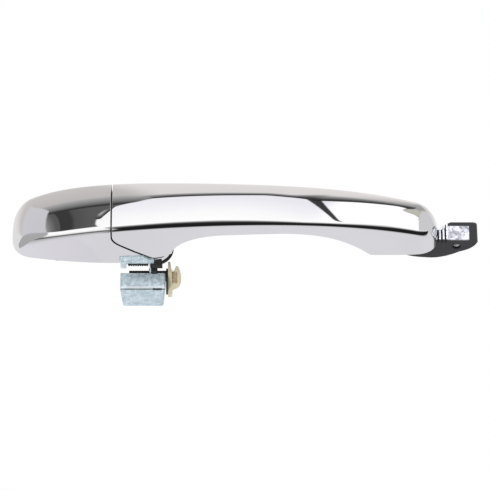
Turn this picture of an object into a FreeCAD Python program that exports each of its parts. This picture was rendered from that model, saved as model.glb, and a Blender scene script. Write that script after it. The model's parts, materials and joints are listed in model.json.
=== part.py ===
import FreeCAD, Part
import math
import os

# A car door pull handle: a fixed cap on the door skin, a strap that swings on a vertical pin at its
# front foot, and a counterweighted crank behind the cap that turns the strap's pull into rod travel.
#
# Millimetres. +X runs towards the pivot foot, +Y into the door and +Z up. The door skin is the plane
# y = 0, and the origin is the middle of the cap's seat on it. "out" is the distance in front of the
# skin, so out = -y.

# Outer form, shared by the cap and the strap
REAR_X = -45.0
FRONT_X = 190.0
CREST_OUT = (17.0, 36.5, 35.0, 34.0, 36.5, 33.0, 18.5)
EDGE_HALF = (15.0, 20.5, 15.0, 14.0, 15.5, 12.5, 11.0)
FOOT_HALF = (13.0, 18.5, 25.0, 16.5, 8.0, 10.5, 16.0, 11.5)
CROWN_RISE = 5.0
CORNER_REACH = 2.4
REAR_SOFT_X = -15.0
REAR_SOFTENING = 6.0
FRONT_SOFT_X = 176.0
FRONT_SOFTENING = 4.0
REAR_NOSE = 12.0
REAR_NOSE_POWER = 2.7
FRONT_NOSE = 13.0
FRONT_NOSE_POWER = 2.5
WALL = 2.2
FIT_GAP = 0.15

# Seam between cap and strap, and the arch over the finger gap
SEAM_X = 10.7
SEAM_GAP = 0.75
CAP_END_X = 43.5
CAP_END_HALF = 19.2
CAP_CORNER = 13.0
CAP_CORNER_FULLNESS = 0.66
ARCH_OUT = 20.2
RIM_OUT = 1.2
LINER = 2.0
LINER_SETBACK = 0.6
LINER_SCREWS = ((58.0, 19.5), (86.0, 21.1), (114.0, 20.1))

# Base
GASKET = 1.2
GASKET_LIP = 0.7
GASKET_SETBACK = 1.1
GASKET_OPEN_X = (14.6, 38.6)
GASKET_TAB_X = (33.7, 41.0)
GASKET_TAB_Z = -15.8
GASKET_LUG_X = (31.3, 38.0)
GASKET_LUG_OUT = (-1.8, 1.1)
GASKET_LUG_Z = (-20.0, -18.95)
FRAME_TOP = 5.2
FRAME_END_X = 27.0
LEG_SLOT = (24.3, 38.2)
LEG_SLOT_Z = (-6.0, 13.6)
FIXING_X = -20.0
BOSS_RADIUS = 6.0
BOSS_DEPTH = 12.0
INSERT_RADIUS = 4.0
THREAD_RADIUS = 2.5
CAP_SCREW_X = (-33.0, 6.0)
CAP_SCREW_RADIUS = 1.5
CAP_SCREW_HEAD = 3.0
CAP_SCREW_HEAD_HEIGHT = 2.0
CAP_SCREW_RECESS = 0.2
CAP_SCREW_DRIVE = 1.2
CAP_SCREW_END = 14.0
CAP_POST_RADIUS = 3.5
CAP_POST_COVER = 0.6
BOSS_HEIGHT = 14.0
BUFFER_X = 40.9
BUFFER_Z = 5.0
BUFFER_RADIUS = 1.4
BUFFER_TOP = 5.7

# Bracket, pin and spring
PIN_OUT = -4.1
PIN_Z = -12.0
PIN_RADIUS = 1.6
RUNNING = 0.05
BRACKET_X = (14.9, 33.4)
BRACKET_OUT = (0.7, 6.4)
BRACKET_Z = -18.7
BRACKET_GAP = 0.3
NOTCH_Z = -16.6
SHEET = 1.5
PRONG_WIDTH = 3.0
RIGHT_EAR_X = (30.8, 31.6)
BUMPER_OUT = -7.0
BUMPER_Z = -16.6
BUMPER_PIN = 1.35
BUMPER_STEM = 0.7
PIN_END_X = 36.2
PIN_CLIP_X = (35.2, 35.7)
PIN_CLIP_RADIUS = 3.0
PIN_NECK = 1.1
EAR_RADIUS = 4.0
RIVET_X = (18.5, 24.0)
RIVET_OUT = 3.0
RIVET_RADIUS = 1.1
RIVET_TOP_Z = -12.5
RIVET_HEAD = 0.4
SPRING_X = (18.8, 30.2)
SPRING_WIRE = 1.1
SPRING_RADIUS = 3.0
SPRING_TURNS = 8.25
SLEEVE_RADIUS = 2.3
SLEEVE_X = (BRACKET_X[0] + PRONG_WIDTH + 0.1, RIGHT_EAR_X[0] - 0.1)

# Crank
HUB_X = (31.7, 35.0)
HUB_RADIUS = 3.4
FINGER_LEAN = 22.3
FINGER_LENGTH = 23.0
FINGER_THICK = 3.0
PLATE_X = (19.3, 38.0)
PLATE_OUT = (-27.2, -12.9)
PLATE_Z = (-14.3, -12.5)
BLOCK_X = (14.4, 39.6)
BLOCK_OUT = (-27.8, -12.8)
BLOCK_Z = (-26.2, -14.3)
BLOCK_TAPER = 1.5
WEIGHT_RIVETS = ((23.5, -20.0), (33.5, -22.0))
WEIGHT_RIVET_RADIUS = 1.3
WEIGHT_RIVET_DEPTH = 5.8
ROD_EAR_X = (39.8, 40.8)
ROD_OUT = -15.0
ROD_Z = -17.0
ROD_EAR_HOLE = 2.25
BARREL_RADIUS = 2.2
ROD_RADIUS = 1.6
CLIP_TILT = 40.0
CLIP_BACK_X = 40.9
CLIP_HALF = 2.8
CLIP_POCKET_X = (43.0, 46.0)
CLIP_POCKET_V = (-1.5, 4.2)
CLIP_POCKET_DEPTH = 1.0

# Strap's rear leg and pivot foot
LEG_X = (26.5, 30.5)
HOOK_OUT = -16.3
HOOK_Z = 7.5
HOOK_RADIUS = 3.2
HOOK_PIN_RADIUS = 1.0
HOOK_PIN_HEAD_X = (35.8, 36.3)
LEG_TOP = 14.0
ROLLER_X = (31.0, 35.6)
ROLLER_RADIUS = 2.0
FOOT_THICK = 12.2
PIVOT_X = 200.1
PIVOT_OUT = 0.6
PIVOT_RADIUS = 2.0
FOOT_FACE_OUT = 6.6
WEAR_PLATE = 0.8
WEAR_PLATE_X = (195.3, 207.0)
WEAR_PLATE_Z = (-FOOT_THICK / 2, 3.4)
NECK_START = (186.0, 0.2)
NECK_END_X = 197.0
BUSH_WALL = 0.6
NECK_SLOTS_X = (189.9, 191.9, 193.9)
NECK_SLOT_DEPTH = 3.0
NECK_SLOT_TOP = 4.4
CORE_CHEEK_OUT = 14.0
CORE_CROWN_GAP = 2.0

FAR = 60.0


def point(x, out, z):
    return FreeCAD.Vector(x, -out, z)


def box(xs, outs, zs):
    size = (xs[1] - xs[0], outs[1] - outs[0], zs[1] - zs[0])
    return Part.makeBox(*size, point(xs[0], outs[1], zs[0]))


def rod_x(xs, out, z, radius):
    return Part.makeCylinder(radius, xs[1] - xs[0], point(xs[0], out, z), FreeCAD.Vector(1, 0, 0))


def rod_out(x, outs, z, radius):
    return Part.makeCylinder(radius, outs[1] - outs[0], point(x, outs[0], z), FreeCAD.Vector(0, -1, 0))


def rod_z(x, out, zs, radius):
    return Part.makeCylinder(radius, zs[1] - zs[0], point(x, out, zs[0]), FreeCAD.Vector(0, 0, 1))


def line(start, end):
    return Part.makeLine(start, end)


def curve(*poles):
    bezier = Part.BezierCurve()
    bezier.setPoles(list(poles))
    return bezier.toShape()


def prism(edges, direction):
    return Part.Face(Part.Wire(Part.__sortEdges__(edges))).extrude(direction)


def polygon(points):
    return [line(a, b) for a, b in zip(points, points[1:] + points[:1])]


# ---------------------------------------------------------------- outer form

def along(x, heights):
    """A smooth height along the handle, drawn by evenly spaced control heights."""
    t = (x - REAR_X) / (FRONT_X - REAR_X)
    n = len(heights) - 1
    return sum(math.comb(n, i) * t**i * (1 - t) ** (n - i) * h for i, h in enumerate(heights))


def nose(depth, length, power):
    """Shrinks a section that is this far into a rounded end."""
    if depth <= 0:
        return 1.0
    return max(1 - (depth / length) ** power, 0.0) ** (1 / power)


def shrink(x, inset):
    rear = nose(REAR_X + REAR_NOSE - x, REAR_NOSE - inset, REAR_NOSE_POWER)
    front = nose(x - FRONT_X + FRONT_NOSE, FRONT_NOSE - inset, FRONT_NOSE_POWER)
    return rear * front


def corner_reach(x):
    """How far the corners are rounded: tight along the handle and softer towards both ends."""
    rear = max((REAR_SOFT_X - x) / (REAR_SOFT_X - REAR_X), 0)
    front = max((x - FRONT_SOFT_X) / (FRONT_X - FRONT_SOFT_X), 0)
    return CORNER_REACH + REAR_SOFTENING * rear**2 + FRONT_SOFTENING * front**2


def section(x, inset, back):
    """Closed outline across the handle: two drafted sides, two soft corners and a crowned front."""
    scale = shrink(x, inset)
    edge = (along(x, CREST_OUT) - CROWN_RISE) * scale
    half = along(x, EDGE_HALF) * scale
    foot = along(x, FOOT_HALF) * scale
    rise = CROWN_RISE * scale
    draft = (half - foot) / edge
    edge -= inset
    half -= inset
    reach = min(corner_reach(x), half / 2)
    z2 = half - reach
    out2 = edge + rise * (1 - (z2 / half) ** 2)
    slope = -2 * rise * z2 / half**2
    corner_z = (half + draft * (out2 - slope * z2 - edge)) / (1 - draft * slope)
    corner_out = out2 + slope * (corner_z - z2)
    out1 = corner_out - reach
    z1 = half + draft * (out1 - edge)
    z0 = half + draft * (back - edge)
    middle = out2 - slope * z2
    return Part.Wire([
        line(point(x, back, -z0), point(x, out1, -z1)),
        curve(point(x, out1, -z1), point(x, corner_out, -corner_z), point(x, out2, -z2)),
        curve(point(x, out2, -z2), point(x, middle, 0), point(x, out2, z2)),
        curve(point(x, out2, z2), point(x, corner_out, corner_z), point(x, out1, z1)),
        line(point(x, out1, z1), point(x, back, z0)),
        line(point(x, back, z0), point(x, back, -z0)),
    ])


def form(inset, back):
    """The whole outer form, drawn in by inset and open to any depth behind the skin."""
    scales = (0.3, 0.45, 0.6, 0.75, 0.87, 0.95)
    rear = [(1 - s**REAR_NOSE_POWER) ** (1 / REAR_NOSE_POWER) for s in scales]
    front = [(1 - s**FRONT_NOSE_POWER) ** (1 / FRONT_NOSE_POWER) for s in reversed(scales)]
    stations = [REAR_X + REAR_NOSE - t * (REAR_NOSE - inset) for t in rear]
    first = REAR_X + REAR_NOSE + 1
    last = FRONT_X - FRONT_NOSE - 1
    steps = 16
    stations += [first + (last - first) * i / steps for i in range(steps + 1)]
    stations += [FRONT_X - FRONT_NOSE + t * (FRONT_NOSE - inset) for t in front]
    return Part.makeLoft([section(x, inset, back) for x in stations], True, False)


# ---------------------------------------------------------------- side outlines, in x and out

def flat(x, out):
    return point(x, out, -FAR / 2)


def seam(dx, dout, top):
    """From above the seam down its rear face and along the sloping cradle to the finger gap."""
    def p(x, out):
        return flat(x + dx, out + dout)
    return [
        line(p(SEAM_X, top), p(SEAM_X, 21.8)),
        curve(p(SEAM_X, 21.8), p(SEAM_X, 17.2), p(16.0, 15.0), p(22.9, 10.4)),
        line(p(22.9, 10.4), p(31.7, 5.1)),
        curve(p(31.7, 5.1), p(35.0, 3.1), p(43.2, 7.2)),
    ]


def arch(d):
    """The back of the strap over the finger gap, moved a distance d into the strap."""
    top = ARCH_OUT + d
    return [
        curve(flat(43.2 - d, 7.2), flat(43.6 - d, 12.5 + d / 2), flat(52.0 - 0.6 * d, top), flat(72.0, top)),
        line(flat(72.0, top), flat(100.0, top)),
        curve(
            flat(100.0, top), flat(126.0 + 0.3 * d, top),
            flat(139.5 + 0.6 * d, 13.2 + 0.8 * d), flat(152.4 + 0.6 * d, RIM_OUT + 0.8 * d),
        ),
    ]


def start_of(edge):
    return edge.Vertexes[0].Point


def end_of(edge):
    return edge.Vertexes[-1].Point


def close(edges):
    return edges + [line(end_of(edges[-1]), start_of(edges[0]))]


def joined(edges, *corners):
    """Carries an open outline on through more corners and back to its start."""
    points = [end_of(edges[-1])] + [flat(x, out) for x, out in corners]
    for a, b in zip(points, points[1:]):
        edges = edges + [line(a, b)]
    return close(edges)


def side_prism(edges):
    return prism(edges, FreeCAD.Vector(0, 0, FAR))


def strap_side(d):
    """Side view of the strap, moved forwards and outwards by d."""
    edges = seam(0, 0, FAR) + arch(0)
    whole = side_prism(joined(edges, (154.0, RIM_OUT), (FRONT_X + 5, RIM_OUT), (FRONT_X + 5, FAR)))
    whole.translate(point(d, d, 0))
    return whole


def cap_side(d):
    """Side view of everything behind the seam, with the seam moved back by d."""
    return side_prism(joined(seam(-d, -d, FAR), (FAR, 12.0), (FAR, -20.0), (-FAR, -20.0), (-FAR, FAR - d)))


def cap_footprint(inset):
    """Plan outline of the cap's seat: open behind, with two full corners at its front end."""
    end = CAP_END_X - inset
    half = CAP_END_HALF - inset
    corner = CAP_CORNER - inset
    tight = corner * (1 - CAP_CORNER_FULLNESS)
    start = end - corner

    def p(x, z):
        return point(x, -FAR, z)

    def rounded(side):
        poles = [p(start, half), p(end - tight, half), p(end, half - tight), p(end, half - corner)]
        return curve(*[FreeCAD.Vector(q.x, q.y, side * q.z) for q in poles])
    outline = polygon([p(start, FAR), p(-FAR, FAR), p(-FAR, -FAR), p(start, -FAR)])[:-1]
    outline += [line(p(start, side * FAR), p(start, side * half)) for side in (-1, 1)]
    outline += [rounded(side) for side in (-1, 1)]
    outline.append(line(p(end, corner - half), p(end, half - corner)))
    return prism(outline, FreeCAD.Vector(0, -2 * FAR, 0))


outer = form(0, -3.0)
inner = form(WALL, -6.0)
core_form = form(WALL + FIT_GAP, -6.0)
in_front_of_gasket = box((-FAR, FAR), (GASKET, FAR), (-FAR, FAR))
leg_slot = box(LEG_SLOT, (-FAR, FAR / 3), LEG_SLOT_Z)

nodes = {}

# ---------------------------------------------------------------- base: cap, frame, gasket

cap_outer = outer.common(cap_side(SEAM_GAP)).common(cap_footprint(0)).common(in_front_of_gasket)
cap_room = inner.common(cap_side(SEAM_GAP + WALL)).common(cap_footprint(WALL))
cap_room = cap_room.common(box((-FAR, FRAME_END_X + FIT_GAP), (-FAR, FAR), (-FAR, FAR)))
cap_shell = cap_outer.cut(cap_room)
for x in CAP_SCREW_X:
    post = rod_out(x, (FRAME_TOP + FIT_GAP, FAR), 0, CAP_POST_RADIUS)
    post = post.common(cap_side(SEAM_GAP + CAP_POST_COVER)).common(form(CAP_POST_COVER, -3.0))
    cap_shell = cap_shell.fuse(post)
    cap_shell = cap_shell.cut(rod_out(x, (0, CAP_SCREW_END + 1), 0, CAP_SCREW_RADIUS))
notch_x = (BRACKET_X[0] - BRACKET_GAP, BRACKET_X[1] + BRACKET_GAP)
notch = box(notch_x, (-1, BRACKET_OUT[1] + BRACKET_GAP), (-FAR, NOTCH_Z))
cap_shell = cap_shell.cut(leg_slot).cut(notch)
for x in RIVET_X:
    cap_shell = cap_shell.cut(rod_z(x, RIVET_OUT, (-FAR, RIVET_TOP_Z), RIVET_RADIUS))
for side in (-1, 1):
    cap_shell = cap_shell.cut(rod_out(BUFFER_X, (3.0, FAR), side * BUFFER_Z, BUFFER_RADIUS))
nodes["cap_shell"] = cap_shell

screw_seat = GASKET + CAP_SCREW_RECESS + CAP_SCREW_HEAD_HEIGHT
frame = core_form.common(cap_side(SEAM_GAP + WALL + FIT_GAP)).common(cap_footprint(WALL + FIT_GAP))
frame = frame.common(box((-FAR, FRAME_END_X), (GASKET, FRAME_TOP), (-FAR, FAR)))
frame = frame.fuse(rod_out(FIXING_X, (-BOSS_DEPTH, BOSS_HEIGHT), 0, BOSS_RADIUS))
frame = frame.cut(rod_out(FIXING_X, (-BOSS_DEPTH, 0), 0, INSERT_RADIUS))
frame = frame.cut(rod_out(FIXING_X, (-1, 8.0), 0, THREAD_RADIUS + 0.4))
for x in CAP_SCREW_X:
    frame = frame.cut(rod_out(x, (0, FAR), 0, CAP_SCREW_RADIUS + 0.2))
    frame = frame.cut(rod_out(x, (0, screw_seat), 0, CAP_SCREW_HEAD + 0.2))
for x in RIVET_X:
    frame = frame.cut(rod_z(x, RIVET_OUT, (-FAR, RIVET_TOP_Z), RIVET_RADIUS))
nodes["base_frame"] = frame.cut(leg_slot)

gasket = form(GASKET_SETBACK, -3.0).common(cap_footprint(-GASKET_LIP))
gasket = gasket.common(box((-FAR, FAR), (0, GASKET), (-FAR, FAR)))
gasket = gasket.cut(rod_out(FIXING_X, (-1, 3), 0, BOSS_RADIUS + FIT_GAP))
gasket = gasket.cut(box(GASKET_OPEN_X, (-1, 3), (NOTCH_Z, LEG_SLOT_Z[1])))
gasket = gasket.cut(box(notch_x, (-1, 3), (-FAR, NOTCH_Z)))
for x in CAP_SCREW_X:
    gasket = gasket.cut(rod_out(x, (-1, 3), 0, CAP_SCREW_HEAD + 0.4))
gasket = gasket.fuse(box(GASKET_LUG_X, GASKET_LUG_OUT, GASKET_LUG_Z))
tab = box(GASKET_TAB_X, (0, GASKET), (GASKET_LUG_Z[0], GASKET_TAB_Z)).common(cap_footprint(-GASKET_LIP))
gasket = gasket.fuse(tab)
nodes["base_gasket"] = gasket

insert = rod_out(FIXING_X, (-BOSS_DEPTH, 0), 0, INSERT_RADIUS)
nodes["fixing_insert"] = insert.cut(rod_out(FIXING_X, (-BOSS_DEPTH, 0), 0, THREAD_RADIUS))

screws = []
for x in CAP_SCREW_X:
    head = rod_out(x, (screw_seat - CAP_SCREW_HEAD_HEIGHT, screw_seat), 0, CAP_SCREW_HEAD)
    drive = rod_out(x, (GASKET, screw_seat - 1.0), 0, CAP_SCREW_DRIVE)
    screws.append(head.fuse(rod_out(x, (screw_seat, CAP_SCREW_END), 0, CAP_SCREW_RADIUS)).cut(drive))
nodes["cap_screws"] = Part.makeCompound(screws)

nodes["strap_buffers"] = Part.makeCompound([
    rod_out(BUFFER_X, (3.0, BUFFER_TOP), side * BUFFER_Z, BUFFER_RADIUS) for side in (-1, 1)
])

# ---------------------------------------------------------------- base: bracket, pin, spring

def ear(xs, low_out):
    """A hanging ear round the pin, whose lower corner reaches back to low_out."""
    round_end = rod_x(xs, PIN_OUT, PIN_Z, EAR_RADIUS)
    web = prism(polygon([
        point(xs[0], BRACKET_OUT[0], BRACKET_Z),
        point(xs[0], low_out, BRACKET_Z),
        point(xs[0], low_out - 2.0, BRACKET_Z + 2.1),
        point(xs[0], PIN_OUT - EAR_RADIUS, PIN_Z),
        point(xs[0], -0.1, PIN_Z),
        point(xs[0], -0.1, BRACKET_Z + SHEET),
        point(xs[0], BRACKET_OUT[0], BRACKET_Z + SHEET),
    ]), FreeCAD.Vector(xs[1] - xs[0], 0, 0))
    return round_end.fuse(web)


bracket = prism(polygon([
    point(BRACKET_X[0], BRACKET_OUT[0], BRACKET_Z),
    point(BRACKET_X[1], BRACKET_OUT[0], BRACKET_Z),
    point(BRACKET_X[1], 3.4, BRACKET_Z),
    point(31.0, 3.8, BRACKET_Z),
    point(27.5, BRACKET_OUT[1], BRACKET_Z),
    point(BRACKET_X[0], BRACKET_OUT[1], BRACKET_Z),
]), FreeCAD.Vector(0, 0, SHEET))
bracket = bracket.fuse(ear((BRACKET_X[0], BRACKET_X[0] + PRONG_WIDTH), -3.4))
bracket = bracket.fuse(ear(RIGHT_EAR_X, BUMPER_OUT))
bracket = bracket.cut(rod_x((BRACKET_X[0] + 1.0, FAR), PIN_OUT, PIN_Z, PIN_RADIUS))
bracket = bracket.cut(rod_x(RIGHT_EAR_X, BUMPER_OUT, BUMPER_Z, BUMPER_STEM))
for x in RIVET_X:
    bracket = bracket.cut(rod_z(x, RIVET_OUT, (-FAR, 0), RIVET_RADIUS))
nodes["spring_bracket"] = bracket

nodes["bracket_rivets"] = Part.makeCompound([
    rod_z(x, RIVET_OUT, (BRACKET_Z, RIVET_TOP_Z), RIVET_RADIUS).fuse(Part.makeCone(
        1.5, 1.9, RIVET_HEAD, point(x, RIVET_OUT, BRACKET_Z - RIVET_HEAD), FreeCAD.Vector(0, 0, 1)))
    for x in RIVET_X
])

bumper = rod_x((RIGHT_EAR_X[1], HUB_X[1]), BUMPER_OUT, BUMPER_Z, BUMPER_PIN)
stem = rod_x((RIGHT_EAR_X[0] - 0.4, RIGHT_EAR_X[1]), BUMPER_OUT, BUMPER_Z, BUMPER_STEM)
nodes["rest_bumper"] = bumper.fuse(stem)

pin = rod_x((BRACKET_X[0] + 1.0, PIN_END_X), PIN_OUT, PIN_Z, PIN_RADIUS)
neck = rod_x(PIN_CLIP_X, PIN_OUT, PIN_Z, PIN_NECK)
groove = rod_x(PIN_CLIP_X, PIN_OUT, PIN_Z, PIN_RADIUS + 1).cut(neck)
nodes["pivot_pin"] = pin.cut(groove)
clip = rod_x(PIN_CLIP_X, PIN_OUT, PIN_Z, PIN_CLIP_RADIUS).cut(neck)
nodes["pin_clip"] = clip.cut(box(PIN_CLIP_X, (PIN_OUT, FAR), (PIN_Z - 0.9, PIN_Z + 0.9)))

sleeve = rod_x(SLEEVE_X, PIN_OUT, PIN_Z, SLEEVE_RADIUS)
nodes["spring_sleeve"] = sleeve.cut(rod_x(SLEEVE_X, PIN_OUT, PIN_Z, PIN_RADIUS + RUNNING))

spring_length = SPRING_X[1] - SPRING_X[0] - SPRING_WIRE
helix = Part.makeHelix(spring_length / SPRING_TURNS, spring_length, SPRING_RADIUS)
wire_circle = Part.makeCircle(SPRING_WIRE / 2, FreeCAD.Vector(SPRING_RADIUS, 0, 0), FreeCAD.Vector(0, 1, 0))
profile = Part.Wire([wire_circle])
coil = Part.Wire(helix).makePipeShell([profile], True, True)
coil.rotate(FreeCAD.Vector(0, 0, 0), FreeCAD.Vector(0, 1, 0), 90)
coil.translate(point(SPRING_X[0] + SPRING_WIRE / 2, PIN_OUT, PIN_Z))
nodes["torsion_spring"] = coil

# ---------------------------------------------------------------- crank

lean = math.radians(FINGER_LEAN)
tip_out = PIN_OUT - FINGER_LENGTH * math.sin(lean)
tip_z = PIN_Z + FINGER_LENGTH * math.cos(lean)
across_out = FINGER_THICK / 2 * math.cos(lean)
across_z = FINGER_THICK / 2 * math.sin(lean)
hub = rod_x(HUB_X, PIN_OUT, PIN_Z, HUB_RADIUS)
finger = prism(polygon([
    point(HUB_X[0], PIN_OUT + across_out, PIN_Z + across_z),
    point(HUB_X[0], tip_out + across_out, tip_z + across_z),
    point(HUB_X[0], tip_out - across_out, tip_z - across_z),
    point(HUB_X[0], PIN_OUT - across_out, PIN_Z - across_z),
]), FreeCAD.Vector(HUB_X[1] - HUB_X[0], 0, 0))
lever = hub.fuse(finger).fuse(rod_x(HUB_X, tip_out, tip_z, FINGER_THICK / 2))
lever = lever.fuse(box(HUB_X, (PLATE_OUT[1] - 1.0, PIN_OUT), (-15.1, -11.2)).cut(
    box(HUB_X, (-FAR, BLOCK_OUT[1] + 0.3), (-FAR, PLATE_Z[0]))))
lever = lever.fuse(box(PLATE_X, PLATE_OUT, PLATE_Z))
lever = lever.fuse(box((PLATE_X[1] - 1, ROD_EAR_X[1]), (-20.0, -12.9), PLATE_Z))
lever = lever.fuse(box(ROD_EAR_X, (-20.0, -11.0), (-23.8, PLATE_Z[1])))
lever = lever.cut(rod_x(HUB_X, PIN_OUT, PIN_Z, SLEEVE_RADIUS))
lever = lever.cut(rod_x(ROD_EAR_X, ROD_OUT, ROD_Z, ROD_EAR_HOLE))
for x, out in WEIGHT_RIVETS:
    lever = lever.cut(rod_z(x, out, (PLATE_Z[0] - 1, PLATE_Z[1] + 1), WEIGHT_RIVET_RADIUS))
nodes["crank_lever"] = lever.removeSplitter()

bush = rod_x(HUB_X, PIN_OUT, PIN_Z, SLEEVE_RADIUS)
nodes["crank_bush"] = bush.cut(rod_x(HUB_X, PIN_OUT, PIN_Z, PIN_RADIUS + RUNNING))

block = prism(polygon([
    point(BLOCK_X[0], BLOCK_OUT[1], BLOCK_Z[0]),
    point(BLOCK_X[1], BLOCK_OUT[1], BLOCK_Z[0]),
    point(BLOCK_X[1] - BLOCK_TAPER, BLOCK_OUT[0], BLOCK_Z[0]),
    point(BLOCK_X[0] + BLOCK_TAPER, BLOCK_OUT[0], BLOCK_Z[0]),
]), FreeCAD.Vector(0, 0, BLOCK_Z[1] - BLOCK_Z[0]))
upright = [e for e in block.Edges if e.BoundBox.ZLength > 5]
block = block.makeFillet(0.8, upright)
bottom = [e for e in block.Edges if e.BoundBox.ZMax < BLOCK_Z[0] + 0.1]
block = block.makeChamfer(1.0, bottom)
for x, out in WEIGHT_RIVETS:
    rivet_hole = rod_z(x, out, (BLOCK_Z[1] - WEIGHT_RIVET_DEPTH - 0.2, BLOCK_Z[1]), WEIGHT_RIVET_RADIUS)
    block = block.cut(rivet_hole)
nodes["weight_block"] = block

nodes["weight_rivets"] = Part.makeCompound([
    rod_z(x, out, (BLOCK_Z[1] - WEIGHT_RIVET_DEPTH, PLATE_Z[1]), WEIGHT_RIVET_RADIUS).fuse(
        rod_z(x, out, (PLATE_Z[1], PLATE_Z[1] + 0.8), 2.2))
    for x, out in WEIGHT_RIVETS
])

# ---------------------------------------------------------------- rod clip

# The clip is drawn upright, with its barrel at the origin, and then tilted; v runs along its bar.

def clip_point(x, v):
    return FreeCAD.Vector(x, -CLIP_HALF, v)


clip_outline = [
    line(clip_point(CLIP_BACK_X, -9.7), clip_point(CLIP_BACK_X, 9.7)),
    line(clip_point(CLIP_BACK_X, 9.7), clip_point(42.0, 9.7)),
    line(clip_point(42.0, 9.7), clip_point(42.6, 5.8)),
    curve(clip_point(42.6, 5.8), clip_point(43.6, 3.4), clip_point(44.7, 5.8)),
    curve(clip_point(44.7, 5.8), clip_point(45.3, 8.6), clip_point(46.6, 6.6)),
    curve(clip_point(46.6, 6.6), clip_point(48.0, 3.6), clip_point(48.0, 0.0)),
    curve(clip_point(48.0, 0.0), clip_point(48.0, -4.4), clip_point(44.6, -5.4)),
    line(clip_point(44.6, -5.4), clip_point(43.3, -6.0)),
    line(clip_point(43.3, -6.0), clip_point(43.0, -9.7)),
    line(clip_point(43.0, -9.7), clip_point(CLIP_BACK_X, -9.7)),
]
clip_body = prism(clip_outline, FreeCAD.Vector(0, 2 * CLIP_HALF, 0))
barrel = Part.makeCylinder(
    BARREL_RADIUS, 5.0, FreeCAD.Vector(ROD_EAR_X[0] - 0.1, 0, 0), FreeCAD.Vector(1, 0, 0))
rod_bore = Part.makeCylinder(ROD_RADIUS, 30.0, FreeCAD.Vector(30.0, 0, 0), FreeCAD.Vector(1, 0, 0))
rod_clip = clip_body.fuse(barrel).cut(rod_bore)
pocket = Part.makeBox(
    CLIP_POCKET_X[1] - CLIP_POCKET_X[0], CLIP_POCKET_DEPTH, CLIP_POCKET_V[1] - CLIP_POCKET_V[0],
    FreeCAD.Vector(CLIP_POCKET_X[0], -CLIP_HALF, CLIP_POCKET_V[0]))
rod_clip = rod_clip.cut(pocket)
rod_clip.rotate(FreeCAD.Vector(0, 0, 0), FreeCAD.Vector(1, 0, 0), CLIP_TILT)
rod_clip.translate(point(0, ROD_OUT, ROD_Z))
nodes["rod_clip"] = rod_clip

# ---------------------------------------------------------------- strap

strap_outer = outer.common(strap_side(0))
strap_room = inner.common(box((SEAM_X + WALL, FRONT_X), (-FAR, FAR), (-FAR, FAR)))

def foot_outline(d):
    """Side view of the pivot foot, grown by d."""
    top = FOOT_FACE_OUT + d
    return [
        line(flat(160.0, top), flat(209.0, top)),
        curve(flat(209.0, top), flat(211.2 + d, top), flat(211.7 + d, 4.6)),
        curve(flat(211.7 + d, 4.6), flat(210.0 + d, -1.5 - d), flat(202.0, -3.9 - d)),
        curve(flat(202.0, -3.9 - d), flat(192.0, -10.4 - d), flat(183.0, -8.9 - d)),
        curve(flat(183.0, -8.9 - d), flat(172.0, -8.5 - d), flat(164.0, -1.5 - d)),
        line(flat(164.0, -1.5 - d), flat(160.0, top)),
    ]


def foot_body(d):
    half = FOOT_THICK / 2 + d
    body = side_prism(foot_outline(d)).common(box((0, 2 * FRONT_X), (-FAR, FAR), (-half, half)))
    above_neck = prism(polygon([
        point(FRONT_X - FAR, 0, NECK_START[1] + d),
        point(NECK_START[0], 0, NECK_START[1] + d),
        point(NECK_END_X, 0, half),
        point(NECK_END_X, 0, FAR),
        point(FRONT_X - FAR, 0, FAR),
    ]), point(0, FAR, 0))
    return body.cut(above_neck)


grip_shell = strap_outer.cut(strap_room).cut(foot_body(FIT_GAP))
nodes["grip_shell"] = grip_shell

liner_lower = arch(LINER_SETBACK)
liner_upper = arch(LINER_SETBACK + LINER)
liner_edges = liner_lower + liner_upper
liner_edges.append(line(start_of(liner_lower[0]), start_of(liner_upper[0])))
liner_edges.append(line(end_of(liner_lower[-1]), end_of(liner_upper[-1])))
liner = core_form.common(side_prism(liner_edges))

core = core_form.common(strap_side(0.4))
core = core.common(box((SEAM_X + WALL + FIT_GAP, FRONT_X), (-FAR, FAR), (-FAR, FAR)))
cheeks = box((SEAM_X, FRONT_X), (-FAR, CORE_CHEEK_OUT), (-FAR, FAR))
core = core.common(form(WALL + CORE_CROWN_GAP, -6.0).fuse(cheeks))
liner_zone = side_prism(joined(arch(LINER_SETBACK + LINER + 0.05), (154.0, -10.0), (40.0, -10.0)))
core = core.cut(liner_zone)
leg = prism(polygon([
    point(LEG_X[0], LEG_TOP, -2.5),
    point(LEG_X[0], 0.0, -2.5),
    point(LEG_X[0], HOOK_OUT, HOOK_Z - HOOK_RADIUS),
    point(LEG_X[0], HOOK_OUT, HOOK_Z + HOOK_RADIUS),
    point(LEG_X[0], LEG_TOP, HOOK_Z + HOOK_RADIUS),
]), FreeCAD.Vector(LEG_X[1] - LEG_X[0], 0, 0))
leg = leg.fuse(rod_x(LEG_X, HOOK_OUT, HOOK_Z, HOOK_RADIUS))
leg = leg.cut(rod_x(LEG_X, HOOK_OUT, HOOK_Z, HOOK_PIN_RADIUS))
core = core.fuse(leg).fuse(foot_body(0))
bush_z = (-FOOT_THICK / 2, FOOT_THICK / 2)
bush_body = rod_z(PIVOT_X, PIVOT_OUT, bush_z, PIVOT_RADIUS + BUSH_WALL)
core = core.cut(bush_body)
nodes["pivot_bush"] = bush_body.cut(rod_z(PIVOT_X, PIVOT_OUT, bush_z, PIVOT_RADIUS))
core = core.cut(box(WEAR_PLATE_X, (FOOT_FACE_OUT - WEAR_PLATE, FAR), (-FAR, WEAR_PLATE_Z[1])))
for x in NECK_SLOTS_X:
    core = core.cut(box((x - 0.5, x + 0.5), (FOOT_FACE_OUT - NECK_SLOT_DEPTH, FAR), (-FAR, NECK_SLOT_TOP)))
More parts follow.
